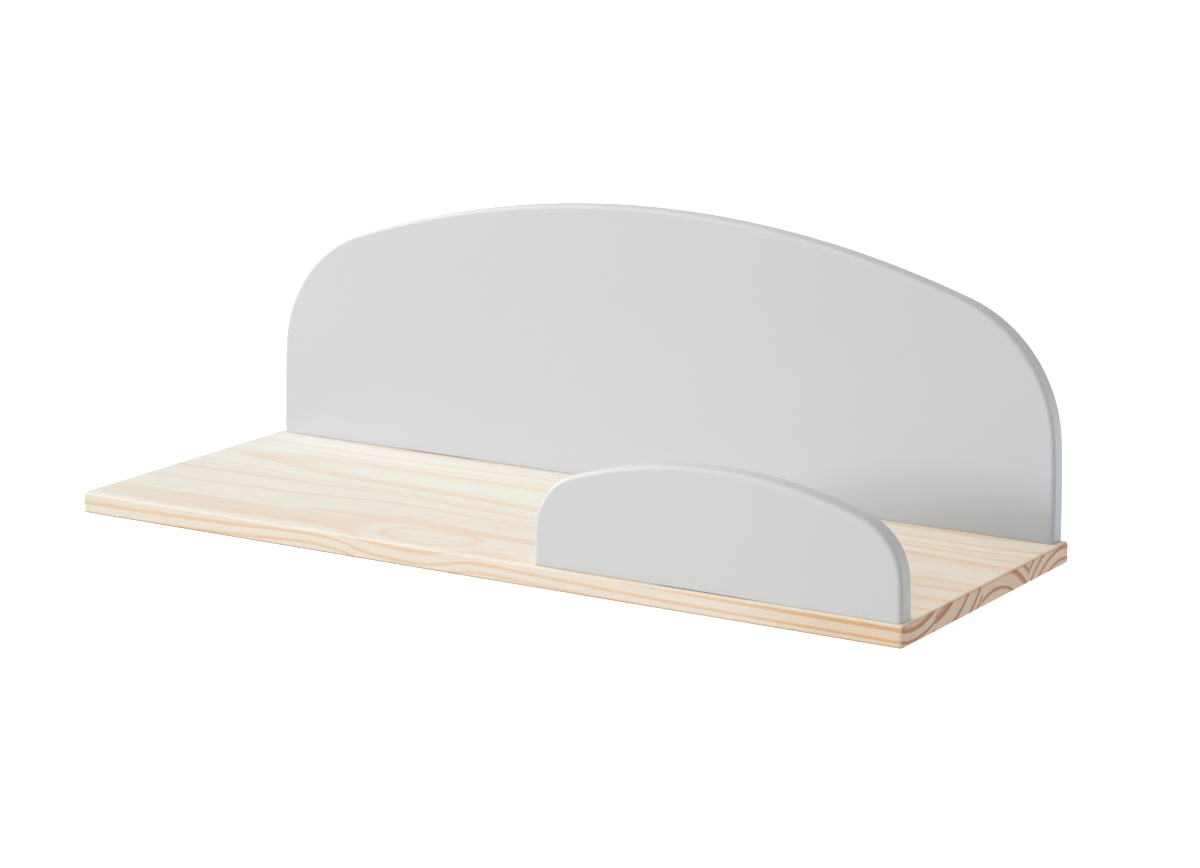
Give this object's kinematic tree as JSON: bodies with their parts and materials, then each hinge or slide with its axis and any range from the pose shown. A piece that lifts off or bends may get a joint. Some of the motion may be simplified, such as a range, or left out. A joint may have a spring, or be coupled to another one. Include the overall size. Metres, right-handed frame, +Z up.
{
  "type": "wall shelf",
  "caption": "Wall shelf: a rounded pine board with a tall arched back panel and a low arched guard at the front right, hung on keyhole plates.",
  "frame": {"origin": "on the wall plane, midway between the two keyhole hangers and level with the seats of the wall screws", "axes": "+X along the board to the right, +Y into the wall, +Z up"},
  "size_m": [0.65, 0.25, 0.215],
  "materials": {
    "pine": "pale pine under clear matt lacquer, edges rounded",
    "grey_paint": "satin light grey paint on fibreboard, edges rounded",
    "beech": "bare beech",
    "zinc_steel": "bright zinc plating"
  },
  "bodies": {
    "root": {"shelf_board": "pine", "back_panel": "grey_paint", "front_guard": "grey_paint", "back_screw_1": "zinc_steel", "back_screw_2": "zinc_steel", "back_screw_3": "zinc_steel", "back_screw_4": "zinc_steel", "back_dowel_1": "beech", "back_dowel_2": "beech", "back_dowel_3": "beech", "guard_screw_1": "zinc_steel", "guard_screw_2": "zinc_steel", "guard_screw_3": "zinc_steel", "guard_dowel_1": "beech", "guard_dowel_2": "beech", "hanger_plate_left": "zinc_steel", "hanger_plate_right": "zinc_steel", "hanger_screw_left_upper": "zinc_steel", "hanger_screw_left_lower": "zinc_steel", "hanger_screw_right_upper": "zinc_steel", "hanger_screw_right_lower": "zinc_steel"}
  },
  "joints": []
}
